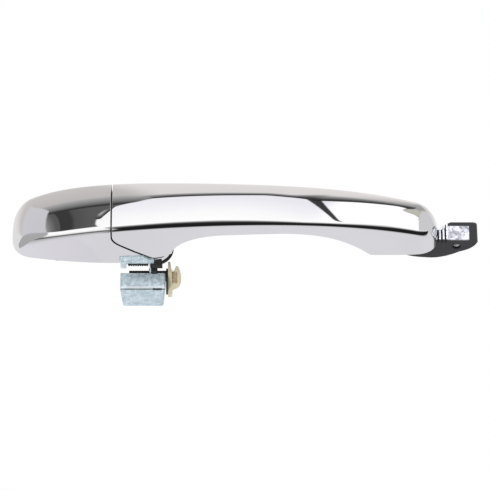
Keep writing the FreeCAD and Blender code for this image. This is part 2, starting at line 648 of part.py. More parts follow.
nodes["foot_wear_plate"] = box(WEAR_PLATE_X, (FOOT_FACE_OUT - WEAR_PLATE, FOOT_FACE_OUT), WEAR_PLATE_Z)

liner_screws = []
for x, seat in LINER_SCREWS:
    head = rod_out(x, (seat, seat + 1.2), 0, 2.4)
    shank = rod_out(x, (seat + 1.2, ARCH_OUT + 8.5), 0, 1.2)
    drive = rod_out(x, (seat, seat + 0.8), 0, 1.0)
    liner = liner.cut(rod_out(x, (0, seat + 1.2), 0, 2.6)).cut(rod_out(x, (0, FAR), 0, 1.3))
    core = core.cut(rod_out(x, (0, ARCH_OUT + 8.6), 0, 1.2))
    liner_screws.append(head.fuse(shank).cut(drive))
nodes["grip_liner"] = liner
nodes["grip_core"] = core
nodes["liner_screws"] = Part.makeCompound(liner_screws)

hook_pin = rod_x((LEG_X[0], HOOK_PIN_HEAD_X[1]), HOOK_OUT, HOOK_Z, HOOK_PIN_RADIUS)
nodes["hook_pin"] = hook_pin.fuse(rod_x(HOOK_PIN_HEAD_X, HOOK_OUT, HOOK_Z, HOOK_PIN_RADIUS + 0.6))
roller = rod_x(ROLLER_X, HOOK_OUT, HOOK_Z, ROLLER_RADIUS)
nodes["hook_roller"] = roller.cut(rod_x(ROLLER_X, HOOK_OUT, HOOK_Z, HOOK_PIN_RADIUS + RUNNING))

os.makedirs("parts", exist_ok=True)
for name, shape in nodes.items():
    shape.exportStep("parts/" + name + ".step")
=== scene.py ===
import json
import math

import bmesh
import bpy
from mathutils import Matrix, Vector


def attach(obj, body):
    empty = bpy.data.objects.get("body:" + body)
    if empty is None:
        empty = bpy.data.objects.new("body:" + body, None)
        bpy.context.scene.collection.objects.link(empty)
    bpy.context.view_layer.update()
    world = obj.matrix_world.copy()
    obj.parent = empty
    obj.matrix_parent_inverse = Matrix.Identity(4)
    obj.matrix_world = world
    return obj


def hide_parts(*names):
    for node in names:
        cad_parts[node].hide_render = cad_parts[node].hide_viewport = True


# A chrome strap-type car door handle on white, seen from the front and well below.
# Metres in the scene; MM turns millimetres into metres.

MM = 0.001

CAMERA_LENS = 300.0
CAMERA_NEAR = 0.05
CAMERA_DISTANCE = 2.255
CAMERA_ELEVATION = math.radians(-40.0)
CAMERA_AIM = (83.4 * MM, 0.0, -4.75 * MM)
FLOOR_Z = -1.7
FLOOR_HALF = 30.0

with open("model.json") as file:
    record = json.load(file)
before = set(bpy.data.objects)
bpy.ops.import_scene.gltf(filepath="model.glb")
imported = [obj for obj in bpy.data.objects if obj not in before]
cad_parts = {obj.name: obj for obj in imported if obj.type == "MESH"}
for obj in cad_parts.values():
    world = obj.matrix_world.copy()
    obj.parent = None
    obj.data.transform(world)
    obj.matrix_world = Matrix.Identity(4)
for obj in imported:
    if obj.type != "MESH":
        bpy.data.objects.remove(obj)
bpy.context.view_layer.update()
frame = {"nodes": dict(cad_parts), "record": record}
nodes = frame["nodes"]


# ---------------------------------------------------------------- shader helpers

class Graph:
    """Adds nodes to a tree in a few words: add returns the node, and what computes returns a socket."""

    def __init__(self, tree):
        self.tree = tree

    def add(self, kind, values=None, **settings):
        made = self.tree.nodes.new(kind)
        for name, value in settings.items():
            setattr(made, name, value)
        for name, value in (values or {}).items():
            self.feed(made.inputs[name], value)
        return made

    def feed(self, socket, value):
        """Links a socket, or sets a number or an opaque colour."""
        if isinstance(value, bpy.types.NodeSocket):
            self.tree.links.new(value, socket)
        elif isinstance(value, tuple):
            socket.default_value = (*value, 1.0)
        else:
            socket.default_value = value

    def math(self, operation, a, b=0.0):
        return self.add("ShaderNodeMath", {0: a, 1: b}, operation=operation).outputs[0]

    def plus(self, a, b):
        return self.math("ADD", a, b)

    def minus(self, a, b):
        return self.math("SUBTRACT", a, b)

    def times(self, a, b):
        return self.math("MULTIPLY", a, b)

    def over(self, a, b):
        return self.math("DIVIDE", a, b)

    def apart(self, a, b):
        return self.math("ABSOLUTE", self.minus(a, b))

    def fade(self, value, start, end, low=0.0, high=1.0):
        """Goes smoothly from low at start to high at end, whichever of the two is larger."""
        made = self.add("ShaderNodeMapRange", {"Value": value, "From Min": start, "From Max": end,
                        "To Min": low, "To Max": high}, interpolation_type="SMOOTHSTEP")
        return made.outputs[0]

    def window(self, value, start, full, fall, end):
        """Rises from 0 at start to 1 at full, and falls from 1 at fall to 0 at end."""
        return self.times(self.fade(value, start, full), self.fade(value, end, fall))

    def ramp(self, value, stops):
        """Piecewise linear; stops are (position, grey level or colour) with positions in 0..1."""
        made = self.add("ShaderNodeValToRGB", {"Fac": value})
        elements = made.color_ramp.elements
        while len(elements) < len(stops):
            elements.new(0.5)
        for element, (position, level) in zip(elements, stops):
            element.position = position
            shade = level if isinstance(level, tuple) else (level, level, level)
            element.color = (*shade, 1.0)
        return made.outputs[0]

    def mix(self, factor, a, b):
        """Mixes two colours."""
        made = self.add("ShaderNodeMix", data_type="RGBA")
        self.feed(made.inputs["Factor"], factor)
        self.feed(made.inputs["A"], a)
        self.feed(made.inputs["B"], b)
        return made.outputs["Result"]

    def blend(self, factor, a, b):
        """Mixes two plain numbers."""
        return self.plus(self.times(a, self.minus(1.0, factor)), self.times(b, factor))

    def noise(self, scale, detail, roughness=0.55, distortion=0.0):
        """Noise that stays with the piece; scale is in patches per metre."""
        place = self.add("ShaderNodeTexCoord").outputs["Object"]
        values = {"Vector": place, "Scale": scale, "Detail": detail, "Roughness": roughness,
                  "Distortion": distortion}
        return self.add("ShaderNodeTexNoise", values).outputs["Fac"]


# ---------------------------------------------------------------- studio

# What the chrome mirrors, by direction. The height is in degrees: -90 is straight down, 0 level towards
# the viewer, 90 straight up, and more than that above and behind. The side goes from -1, left, to 1, right.

# The right part: bright below and behind, a black flag, and from about -30 degrees up the main softbox.
RIGHT_BY_HEIGHT = (
    (-140, (0.74, 0.735, 0.76)), (-116, (0.675, 0.67, 0.69)), (-103, 0.05), (-96, 0.012), (-58, 0.015),
    (-45, 0.08), (-35, 0.45), (-26, 1.1), (-5, 1.05), (15, (0.97, 0.965, 1.0)), (40, (0.90, 0.89, 0.94)),
)
# How many degrees lower than that the flag and the softbox hang at each side.
SINK_BY_SIDE = (
    (-0.1, -2), (-0.03, -6), (0.02, -6), (0.06, 0), (0.1, 8), (0.15, 19), (0.2, 18), (0.25, 15),
    (0.3, 9), (0.35, 6), (0.4, 4), (0.45, 8), (0.5, 14),
)
# How bright a second box is, further to the right.
FAR_BOX_LEVEL = 1.15
# The left part: bright below and behind, a dark gap, a bright strip low in front and a dark room above it.
LEFT_BY_HEIGHT = (
    (-150, (0.75, 0.74, 0.78)), (-138, (0.72, 0.71, 0.75)), (-118, (0.62, 0.61, 0.65)), (-96, 0.5),
    (-84, 0.14), (-74, 0.12), (-65, 0.5), (-56, 0.98), (-14.5, 1.15), (-12, 0.10), (8, 0.045),
    (27, 0.05), (33, 0.035), (36, 0.13), (48, 0.34), (60, 0.54),
)
# The side at which the left part ends and the right one begins.
BORDER_BY_HEIGHT = (
    (-100, -0.07), (-74, -0.09), (-58, -0.13), (-38, -0.2), (-26, -0.22), (-8, -0.28), (4, -0.28),
    (10, -0.274), (16, -0.254), (22, -0.226), (28, -0.184), (34, -0.134), (42, -0.1), (90, -0.1),
)
# The height of the softbox's top edge, which climbs and falls across the studio.
TOP_BY_SIDE = (
    (-0.26, 0), (-0.2, 25), (-0.15, 33), (-0.1, 41), (-0.05, 45), (0.0, 49), (0.05, 52), (0.1, 45),
    (0.15, 36), (0.2, 40), (0.25, 45), (0.3, 50), (0.35, 56), (0.39, 54), (0.415, 40), (0.45, 32),
    (0.5, 25), (0.56, 20),
)
# The dark gap over that edge, by the share of GAP_REACH degrees above it, and how many times higher it
# reaches in the right half, where the edge dips.
GAP_REACH = 20.0
GAP_WIDENING = 2.6
GAP_BY_SHARE = ((0.0, 1.0), (0.06, 0.03), (0.2, 0.055), (0.35, 0.2), (0.46, 0.32), (0.58, 0.46), (0.7, 0.6))
# The dome over it all, its bright middle, its shaded part, and a panel in front of it on the right.
DOME_BY_HEIGHT = (
    (60, (0.56, 0.53, 0.525)), (95, (0.62, 0.59, 0.585)), (130, (0.80, 0.79, 0.78)),
    (170, (0.78, 0.78, 0.79)),
)
DOME_BRIGHT = (0.98, 0.95, 0.94)
DOME_SHADE = (0.37, 0.36, 0.355)
PANEL_COLOUR = (0.53, 0.53, 0.46)
# The slanted flag in front of the softbox: its side and half width at height 0, and what each degree adds.
FLAG_SIDE = 0.207
FLAG_SLANT = -0.0016
FLAG_HALF = 0.010
FLAG_WIDENING = 0.00013
FLAG_COLOUR = (0.02, 0.02, 0.02)
FLAG_DEPTH = 0.97
# The inside of the dark room on the left, and the wall at its left end, whose edge bends as it climbs
# from height 0 to WALL_CLIMB_END.
ROOM_BY_SIDE = (
    (-0.56, 0.30), (-0.53, 0.18), (-0.5, 0.11), (-0.475, 0.10), (-0.472, 0.045), (-0.40, 0.045),
    (-0.385, 0.085), (-0.30, 0.11),
)
WALL_BY_HEIGHT = ((-60, 0.42), (-16, 0.44), (-8, (0.62, 0.62, 0.66)), (60, (0.64, 0.63, 0.66)))
WALL_SIDE = -0.565
WALL_LEAN = 0.0006
WALL_BEND = 0.00004
WALL_CLIMB_END = 40.0
# The far right wall and its dark edge.
FAR_EDGE_SIDE = 0.632
FAR_EDGE_COLOUR = (0.04, 0.04, 0.04)
FAR_WALL_COLOUR = (0.64, 0.64, 0.65)

SOFT_LIGHT = (0.86, 0.88, 0.9)
BACKDROP = (1.0, 1.0, 1.0)


class Studio(Graph):
    """The world: white to the camera, a soft even light, and softboxes and flags in reflections."""

    def __init__(self, tree):
        super().__init__(tree)
        direction = self.add("ShaderNodeTexCoord").outputs["Generated"]
        split = self.add("ShaderNodeSeparateXYZ", {0: direction}).outputs
        self.side = split["X"]
        towards = self.times(split["Y"], -1.0)
        self.height = self.math("DEGREES", self.math("ARCTAN2", split["Z"], towards))

    def by_height(self, stops, height=None):
        """Levels or colours along the height, or along another angle in degrees."""
        where = self.over(self.plus(self.height if height is None else height, 180.0), 360.0)
        return self.ramp(where, [((degrees + 180.0) / 360.0, level) for degrees, level in stops])

    def by_side(self, stops):
        """Levels or colours from left to right."""
        where = self.over(self.plus(self.side, 1.0), 2.0)
        return self.ramp(where, [((side + 1.0) / 2.0, level) for side, level in stops])

    def degrees_by_side(self, stops):
        """A height of -20 to 80 degrees for each side, carried in the ramp as 0 to 1."""
        level = self.by_side([(side, (degrees + 20.0) / 100.0) for side, degrees in stops])
        return self.minus(self.times(level, 100.0), 20.0)

    def side_by_height(self, stops):
        """A side of -1 to 1 for each height, carried in the ramp as 0 to 1."""
        level = self.by_height([(degrees, (side + 1.0) / 2.0) for degrees, side in stops])
        return self.minus(self.times(level, 2.0), 1.0)

    def right_part(self):
        """The black flag, the softbox over it, and a second box further right that reaches lower."""
        sunk = self.plus(self.height, self.degrees_by_side(SINK_BY_SIDE))
        sunk = self.blend(self.fade(self.height, -80.0, -60.0), self.height, sunk)
        far_box = self.times(self.fade(self.side, 0.17, 0.23), self.fade(self.height, -60.0, -48.0))
        far_level = self.times(self.fade(sunk, -58.0, -24.0), FAR_BOX_LEVEL)
        return self.mix(far_box, self.by_height(RIGHT_BY_HEIGHT, sunk), far_level)

    def dome(self):
        """The ceiling, brightest in the middle and shaded to the right of that."""
        level = self.by_height(DOME_BY_HEIGHT)
        bright = self.window(self.side, -0.14, -0.06, 0.14, 0.26)
        level = self.mix(self.times(bright, 0.5), level, DOME_BRIGHT)
        shade = self.window(self.side, 0.22, 0.3, 0.52, 0.62)
        shade = self.times(shade, self.fade(self.height, 108.0, 96.0))
        return self.mix(shade, level, DOME_SHADE)

    def over_softbox(self, right, dome):
        """The right part up to the softbox's top edge, then the dark gap, a panel and the dome."""
        above = self.minus(self.height, self.degrees_by_side(TOP_BY_SIDE))
        widen = self.window(self.side, 0.08, 0.14, 0.36, 0.42)
        above = self.over(above, self.blend(widen, 1.0, GAP_WIDENING))
        gap = self.ramp(self.over(above, GAP_REACH), GAP_BY_SHARE)
        level = self.mix(self.fade(above, 9.0, 15.0), gap, dome)
        level = self.mix(self.fade(self.side, 0.395, 0.41), level, dome)
        panel = self.window(self.side, 0.395, 0.41, 0.6, 0.64)
        panel = self.times(panel, self.fade(self.height, 66.0, 60.0))
        level = self.mix(panel, level, PANEL_COLOUR)
        return self.mix(self.fade(above, -0.3, 0.3), right, level)

    def slanted_flag(self, level):
        """A flag that splits the softbox, slanted and wider at its top."""
        middle = self.plus(FLAG_SIDE, self.times(self.height, FLAG_SLANT))
        half = self.plus(FLAG_HALF, self.times(self.height, FLAG_WIDENING))
        flag = self.fade(self.minus(self.apart(self.side, middle), half), 0.0035, -0.0025)
        inside = self.window(self.height, -36.0, -26.0, 40.0, 46.0)
        return self.mix(self.times(self.times(flag, inside), FLAG_DEPTH), level, FLAG_COLOUR)

    def left_room(self, level, past):
        """The dark room left of the border, and the wall at its left end."""
        inside = self.window(self.height, -14.0, -11.0, 28.0, 32.0)
        inside = self.times(inside, self.fade(past, 0.008, -0.008))
        level = self.mix(inside, level, self.by_side(ROOM_BY_SIDE))
        climb = self.math("MINIMUM", self.math("MAXIMUM", self.height, 0.0), WALL_CLIMB_END)
        lean = self.plus(WALL_LEAN, self.times(climb, WALL_BEND))
        edge = self.plus(WALL_SIDE, self.times(climb, lean))
        wall = self.fade(self.minus(self.side, edge), 0.008, -0.008)
        wall = self.times(wall, self.fade(self.height, 90.0, 60.0))
        return self.mix(wall, level, self.by_height(WALL_BY_HEIGHT))

    def far_wall(self, level):
        """The wall at the far right, with a dark edge."""
        edge = self.fade(self.apart(self.side, FAR_EDGE_SIDE), 0.012, 0.004)
        edge = self.times(edge, self.window(self.height, 2.0, 8.0, 24.0, 30.0))
        level = self.mix(edge, level, FAR_EDGE_COLOUR)
        wall = self.times(self.fade(self.side, 0.635, 0.655), self.fade(self.height, -50.0, -40.0))
        return self.mix(wall, level, FAR_WALL_COLOUR)

    def reflections(self):
        """Left and right part, divided sharply below and softly above, and what stands in front of them."""
        dome = self.dome()
        right = self.over_softbox(self.right_part(), dome)
        left = self.mix(self.fade(self.height, 50.0, 62.0), self.by_height(LEFT_BY_HEIGHT), dome)
        past = self.minus(self.side, self.side_by_height(BORDER_BY_HEIGHT))
        sharp = self.mix(self.fade(past, -0.008, 0.008), left, right)
        soft = self.mix(self.fade(past, -0.06, 0.04), left, right)
        level = self.mix(self.fade(self.height, 44.0, 50.0), sharp, soft)
        return self.far_wall(self.left_room(self.slanted_flag(level), past))

    def build(self):
        """Joins what the camera, the gloss and everything else see, and feeds it to the world."""
        paths = self.add("ShaderNodeLightPath").outputs
        seen = self.mix(paths["Is Glossy Ray"], SOFT_LIGHT, self.reflections())
        seen = self.mix(paths["Is Camera Ray"], seen, BACKDROP)
        background = self.add("ShaderNodeBackground", {"Color": seen})
        self.add("ShaderNodeOutputWorld", {"Surface": background.outputs[0]})


def area_light(name, place, aim, size, power):
    """A softbox that lights the matt surfaces and isn't seen in the chrome."""
    data = bpy.data.lights.new(name, "AREA")
    data.shape = "RECTANGLE"
    data.size, data.size_y = size
    data.energy = power
    lamp = bpy.data.objects.new(name, data)
    lamp.location = place
    lamp.rotation_euler = (Vector(aim) - Vector(place)).to_track_quat("-Z", "Y").to_euler()
    lamp.visible_glossy = False
    lamp.visible_camera = False
    bpy.context.scene.collection.objects.link(lamp)


# ---------------------------------------------------------------- finishes

EDGE_ROUNDING = 0.2 * MM
CHROME_EDGE_ROUNDING = 0.3 * MM
BEVEL_SAMPLES = 6
SUBSURFACE_REACH = 1.5 * MM
PIT_BUMP = 0.25
MARK_SOFTNESS = 0.15


def finish_of(name):
    """An empty material with its graph and its shader."""
    made = bpy.data.materials.new(name)
    made.use_nodes = True
    tree = made.node_tree
    tree.nodes.clear()
    g = Graph(tree)
    shader = g.add("ShaderNodeBsdfPrincipled")
    g.add("ShaderNodeOutputMaterial", {"Surface": shader.outputs[0]})
    return made, g, shader


def bumped(g, height, strength, distance, edge):
    """A bumped normal; edge rounds sharp corners in the shading by that radius."""
    rounded = g.add("ShaderNodeBevel", {"Radius": edge}, samples=BEVEL_SAMPLES).outputs[0]
    values = {"Height": height, "Strength": strength, "Distance": distance, "Normal": rounded}
    return g.add("ShaderNodeBump", values).outputs[0]


def chrome():
    """Bright chrome: a faint cloud in its colour and form, and fine specks in its gloss."""
    made, g, shader = finish_of("chrome")
    cloud = g.noise(60.0, detail=3.0)
    specks = g.noise(900.0, detail=2.0)
    g.feed(shader.inputs["Base Color"], g.mix(cloud, (0.885, 0.885, 0.90), (0.93, 0.925, 0.93)))
    shader.inputs["Metallic"].default_value = 1.0
    g.feed(shader.inputs["Roughness"], g.fade(specks, 0.35, 0.75, 0.008, 0.03))
    g.feed(shader.inputs["Normal"], bumped(g, cloud, 0.01, 0.1 * MM, CHROME_EDGE_ROUNDING))
    return made


def moulded(name, dark, light, rough, grain_scale, grain, subsurface):
    """Moulded plastic or rubber: two close shades, a fine grain and a little wear in the gloss."""
    made, g, shader = finish_of(name)
    cloud = g.noise(140.0, detail=5.0)
    grain_noise = g.noise(grain_scale, detail=3.0)
    g.feed(shader.inputs["Base Color"], g.mix(cloud, dark, light))
    g.feed(shader.inputs["Roughness"], g.fade(grain_noise, 0.3, 0.7, rough - 0.08, rough + 0.08))
    if subsurface:
        shader.inputs["Subsurface Weight"].default_value = subsurface
        shader.inputs["Subsurface Scale"].default_value = SUBSURFACE_REACH
    g.feed(shader.inputs["Normal"], bumped(g, grain_noise, grain, 0.2 * MM, EDGE_ROUNDING))
    return made


def plated(name, dark, light, rough, mottle_scale, metallic):
    """Plated or bare metal: mottled patches, fine pitting and uneven gloss."""
    made, g, shader = finish_of(name)
    patches = g.noise(mottle_scale, detail=6.0, roughness=0.62, distortion=0.6)
    pits = g.noise(mottle_scale * 5.0, detail=3.0)
    g.feed(shader.inputs["Base Color"], g.mix(g.fade(patches, 0.34, 0.66), dark, light))
    shader.inputs["Metallic"].default_value = metallic
    g.feed(shader.inputs["Roughness"], g.fade(pits, 0.3, 0.7, rough - 0.1, rough + 0.12))
    g.feed(shader.inputs["Normal"], bumped(g, pits, PIT_BUMP, 0.3 * MM, EDGE_ROUNDING))
    return made


def within(g, axis, low, high):
    """A mask of the piece from low to high on one axis of the frame, in millimetres."""
    place = g.add("ShaderNodeTexCoord").outputs["Object"]
    value = g.times(g.add("ShaderNodeSeparateXYZ", {0: place}).outputs[axis], 1.0 / MM)
    soft = MARK_SOFTNESS
    return g.window(value, low - soft, low + soft, high - soft, high + soft)


def paint_light_and_shade(made, colour, masks, rough, mottle):
    """Paints shade and highlights on a finish where all masks are met; mottle is the tone of its darker
    patches.
    """
    g = Graph(made.node_tree)
    shader = next(n for n in made.node_tree.nodes if n.type == "BSDF_PRINCIPLED")
    mask = 1.0
    for axis, low, high in masks:
        mask = g.times(mask, within(g, axis, low, high))
    patches = g.fade(g.noise(450.0, detail=4.0, roughness=0.6), 0.35, 0.65)
    mottled = g.mix(patches, tuple(mottle * c for c in colour), colour)
    old = shader.inputs["Base Color"].links[0].from_socket
    g.feed(shader.inputs["Base Color"], g.mix(mask, old, mottled))
    old_rough = shader.inputs["Roughness"].links[0].from_socket
    g.feed(shader.inputs["Roughness"], g.blend(mask, old_rough, rough))


# dark shade, light shade, roughness, grains per metre, grain depth and subsurface
BLACK_NYLON = ((0.010, 0.010, 0.011), (0.024, 0.024, 0.027), 0.36, 1500.0, 0.25, 0.0)
MOULDED = {
    "black_nylon": BLACK_NYLON,
    "core_nylon": BLACK_NYLON,
    "rubber": ((0.008, 0.008, 0.008), (0.018, 0.018, 0.018), 0.62, 1100.0, 0.35, 0.0),
    "acetal": ((0.70, 0.70, 0.67), (0.80, 0.80, 0.78), 0.42, 1300.0, 0.1, 0.1),
    "clip_acetal": ((0.44, 0.39, 0.26), (0.58, 0.53, 0.39), 0.5, 700.0, 0.45, 0.05),
}
# dark shade, light shade, roughness, mottles per metre and metallic
PLATED = {
    "brass": ((0.56, 0.40, 0.16), (0.78, 0.62, 0.32), 0.3, 260.0, 1.0),
    "steel": ((0.46, 0.47, 0.49), (0.64, 0.65, 0.67), 0.3, 420.0, 1.0),
    "zinc_plate": ((0.40, 0.50, 0.53), (0.70, 0.80, 0.86), 0.4, 480.0, 0.3),
    "block_zinc": ((0.44, 0.54, 0.58), (0.66, 0.76, 0.81), 0.4, 400.0, 0.3),
    "bush_steel": ((0.62, 0.62, 0.66), (0.95, 0.95, 1.0), 0.25, 800.0, 0.3),
    "bright_steel": ((0.24, 0.24, 0.27), (0.80, 0.80, 0.86), 0.28, 420.0, 0.3),
    "spring_steel": ((0.012, 0.012, 0.013), (0.04, 0.04, 0.045), 0.34, 700.0, 0.3),
    "black_steel": ((0.010, 0.010, 0.011), (0.03, 0.03, 0.034), 0.4, 600.0, 0.2),
    # painted shade: near black for the faces cut along the seam, standing for the shade in the gap between
    # cap and strap
    "seam_painted_shade": ((0.004, 0.004, 0.005), (0.012, 0.012, 0.013), 0.6, 500.0, 0.0),
}
# The pieces whose finish is their own, because painted shade and painted highlights change it from place to
# place.
OWN_FINISHES = {
    "pivot_bush": "bush_steel",
    "grip_core": "core_nylon",
    "weight_block": "block_zinc",
    "rod_clip": "clip_acetal",
}
# Painted shade and painted highlights, recoloured into the finishes.
# finish, colour, masks as (axis, low, high) in the part's own millimetres, roughness and mottle
PAINTED_LIGHT_AND_SHADE = (
    # painted shade darkening the lower end of the bush
    ("bush_steel", (0.014, 0.014, 0.015), (("Z", -7.0, -4.6),), 0.5, 0.45),
    # painted highlights on the faces of the ribs on the foot's neck
    ("core_nylon", (0.80, 0.80, 0.86), (("X", 187.0, 195.3), ("Y", -7.0, -6.4)), 0.3, 0.45),
    # painted light on the block: its front face painted lighter, and a painted highlight as a bright line
    # low down;
    # painted shade on the chamfer under that, darkest along one stretch of it
    ("block_zinc", (0.78, 0.90, 0.96), (("Y", 12.6, 13.2),), 0.35, 0.66),
    ("block_zinc", (0.92, 0.97, 1.0), (("Y", 12.6, 13.2), ("Z", -25.3, -23.7)), 0.3, 0.85),
    ("block_zinc", (0.28, 0.32, 0.34), (("Y", 12.6, 13.6), ("Z", -25.85, -25.2)), 0.6, 0.45),
    ("block_zinc", (0.06, 0.07, 0.08), (("X", 32.6, 37.5), ("Y", 12.6, 13.8), ("Z", -26.0, -25.0)),
     0.6, 0.45),
    # painted shade inside the clip's pocket, in a darker brown
    ("clip_acetal", (0.40, 0.31, 0.20), (("X", 43.1, 46.0), ("Z", -20.5, -14.5), ("Y", 11.0, 15.5)),
     0.6, 0.7),
)

finishes = {"chrome": chrome()}
for name, look in MOULDED.items():
    finishes[name] = moulded(name, *look)
for name, look in PLATED.items():
    finishes[name] = plated(name, *look)
for name, colour, masks, rough, mottle in PAINTED_LIGHT_AND_SHADE:
    paint_light_and_shade(finishes[name], colour, masks, rough, mottle)

for part in frame["record"]["subparts"]:
    mesh = nodes[part["node"]].data
    mesh.materials.clear()
    mesh.materials.append(finishes[OWN_FINISHES.get(part["node"], part["material_slot"])])


# ---------------------------------------------------------------- smooth chrome shells

# The outer form of the handle in millimetres: x runs along it, out is the height off the door skin
# and z is up. The crest's height and the half widths at the edge and at the skin are given by evenly
# spaced control values of one smooth curve each.
REAR_X = -45.0
FRONT_X = 190.0
CREST_OUT = (17.0, 36.5, 35.0, 34.0, 36.5, 33.0, 18.5)
EDGE_HALF = (15.0, 20.5, 15.0, 14.0, 15.5, 12.5, 11.0)
FOOT_HALF = (13.0, 18.5, 25.0, 16.5, 8.0, 10.5, 16.0, 11.5)
# How far the crown rises over the edge, and how its corner softens towards the rounded ends.
CROWN_RISE = 5.0
CORNER_REACH = 2.4
REAR_SOFT_X = -15.0
REAR_SOFTENING = 6.0
FRONT_SOFT_X = 176.0
FRONT_SOFTENING = 4.0
REAR_NOSE = 12.0
REAR_NOSE_POWER = 2.7
FRONT_NOSE = 13.0
FRONT_NOSE_POWER = 2.5
WALL = 2.2
# The seam in side view: straight in to SEAM_TOP, a bend, a slope and a hook out to the finger gap.
SEAM_X = 10.7
SEAM_GAP = 0.75
SEAM_TOP = (SEAM_X, 21.8)
SEAM_BEND = ((SEAM_X, 17.2), (16.0, 15.0))
SEAM_BEND_END = (22.9, 10.4)
SEAM_HOOK_START = (31.7, 5.1)
SEAM_HOOK = (35.0, 3.1)
GAP_START = (43.2, 7.2)
GASKET = 1.2
# The arch over the finger gap: steep behind, level in the middle, and a long fall to the strap's rim.
RIM_OUT = 1.2
ARCH_OUT = 20.2
ARCH_RISE = (GAP_START, (43.6, 12.5), (52.0, ARCH_OUT), (72.0, ARCH_OUT))
ARCH_FALL = ((100.0, ARCH_OUT), (126.0, ARCH_OUT), (139.5, 13.2), (152.4, RIM_OUT))
RIM_START_X = 154.0
STRAP_SPARE = 5.0
# The front end of the cap's seat in plan, with its rounded corners.
CAP_END_X = 43.5
CAP_END_HALF = 19.2
CAP_CORNER = 13.0
CAP_CORNER_FULLNESS = 0.66
CAP_SIDE_END_OUT = 12.0
# The cap's hollow round its frame, the slot for the strap's rear leg and the notch for the bracket.
FRAME_END_X = 27.15
LEG_SLOT_X = (24.3, 38.2)
LEG_SLOT_Z = (-6.0, 13.6)
LEG_SLOT_OUT = 20.0
NOTCH_X = (14.6, 33.7)
NOTCH_OUT = (-1.0, 6.7)
NOTCH_Z = -16.6
# The foot's room, 0.15 mm larger all round than the foot and its neck.
FOOT_ROOM_X = (160.0, 209.0)
FOOT_ROOM_OUT = (-12.0, 6.75)
FOOT_ROOM_HALF = 6.25
NECK_START = (186.0, 0.35)
NECK_END_X = 197.0
# Where the cutting bodies end: beyond everything, and well behind the skin. BACK is where the form starts.
FAR = 60.0
BEHIND = -20.0
BACK = -3.0
# How finely the curves are cut, in steps or millimetres.
STEP = 0.8
NOSE_STEPS = 26
INSET_NOSE_START = 4
SIDE_STEPS = 24
CORNER_STEPS = 14
CROWN_STEPS = 40
CURVE_STEPS = 24
HOOK_STEPS = 12
CAP_CORNER_STEPS = 20
SMOOTH_ANGLE = math.radians(28.0)


def weights(count, t):
    """How much each of a smooth curve's control values counts at t, from 0 to 1."""
    n = count - 1
    return [math.comb(n, i) * t**i * (1 - t) ** (n - i) for i in range(count)]


def along(x, heights):
    """The height at x of a curve with those control heights."""
    t = (x - REAR_X) / (FRONT_X - REAR_X)
    return sum(w * h for w, h in zip(weights(len(heights), t), heights))


def nose(depth, length, power):
    """The share of the section that is left at a depth into a rounded end."""
    if depth <= 0:
        return 1.0
    return max(1 - (depth / length) ** power, 0.0) ** (1 / power)


def shrink(x, inset):
    """The share of the section that the rounded ends leave at x."""
    rear = nose(REAR_X + REAR_NOSE - x, REAR_NOSE - inset, REAR_NOSE_POWER)
    front = nose(x - FRONT_X + FRONT_NOSE, FRONT_NOSE - inset, FRONT_NOSE_POWER)
    return rear * front


def corner_reach(x):
    """How far the rounding between side and crown reaches, more towards the two ends."""
    rear = max((REAR_SOFT_X - x) / (REAR_SOFT_X - REAR_X), 0)
    front = max((x - FRONT_SOFT_X) / (FRONT_X - FRONT_SOFT_X), 0)
    return CORNER_REACH + REAR_SOFTENING * rear**2 + FRONT_SOFTENING * front**2


def bezier(poles, steps):
    """Points along a curve, without its first one."""
    made = []
    for k in range(1, steps + 1):
        share = weights(len(poles), k / steps)
        made.append(tuple(sum(w * p[axis] for w, p in zip(share, poles)) for axis in (0, 1)))
    return made


def section(x, inset):
    """Half of the outline across the handle as (out, z), from behind the skin round to the crest.

    A side that leans by the draft, a corner that reaches as far along the side as along the crown, and
    the low crown.
    """
    scale = shrink(x, inset)
    edge = (along(x, CREST_OUT) - CROWN_RISE) * scale
    half = along(x, EDGE_HALF) * scale
    foot = along(x, FOOT_HALF) * scale
    rise = CROWN_RISE * scale
    draft = (half - foot) / edge
    edge -= inset
    half -= inset
    reach = min(corner_reach(x), half / 2)
    z2 = half - reach
    out2 = edge + rise * (1 - (z2 / half) ** 2)
    slope = -2 * rise * z2 / half**2
    corner_z = (half + draft * (out2 - slope * z2 - edge)) / (1 - draft * slope)
    corner_out = out2 + slope * (corner_z - z2)
    out1 = corner_out - reach
    z1 = half + draft * (out1 - edge)
    z0 = half + draft * (BACK - edge)
    points = [(BACK, z0)] + bezier([(BACK, z0), (out1, z1)], SIDE_STEPS)
    points += bezier([(out1, z1), (corner_out, corner_z), (out2, z2)], CORNER_STEPS)
    middle = out2 - slope * z2
    crown = bezier([(out2, z2), (middle, 0.0), (out2, -z2)], CROWN_STEPS)
    return points + crown[:CROWN_STEPS // 2]


def solid(name, points, faces, dark=()):
    """A closed chrome body from points in (x, out, z); the faces listed in dark are dull and black, as
    painted shade.
    """
    mesh = bpy.data.meshes.new(name)
    mesh.from_pydata([(x * MM, -out * MM, z * MM) for x, out, z in points], [], faces)
    for i in dark:
        mesh.polygons[i].material_index = 1
    mesh.materials.append(finishes["chrome"])
    mesh.materials.append(finishes["seam_painted_shade"])
    body = bpy.data.objects.new(name, mesh)
    bpy.context.scene.collection.objects.link(body)
    tidy = bmesh.new()
    tidy.from_mesh(mesh)
    bmesh.ops.recalc_face_normals(tidy, faces=tidy.faces)
    tidy.to_mesh(mesh)
    tidy.free()
    return body


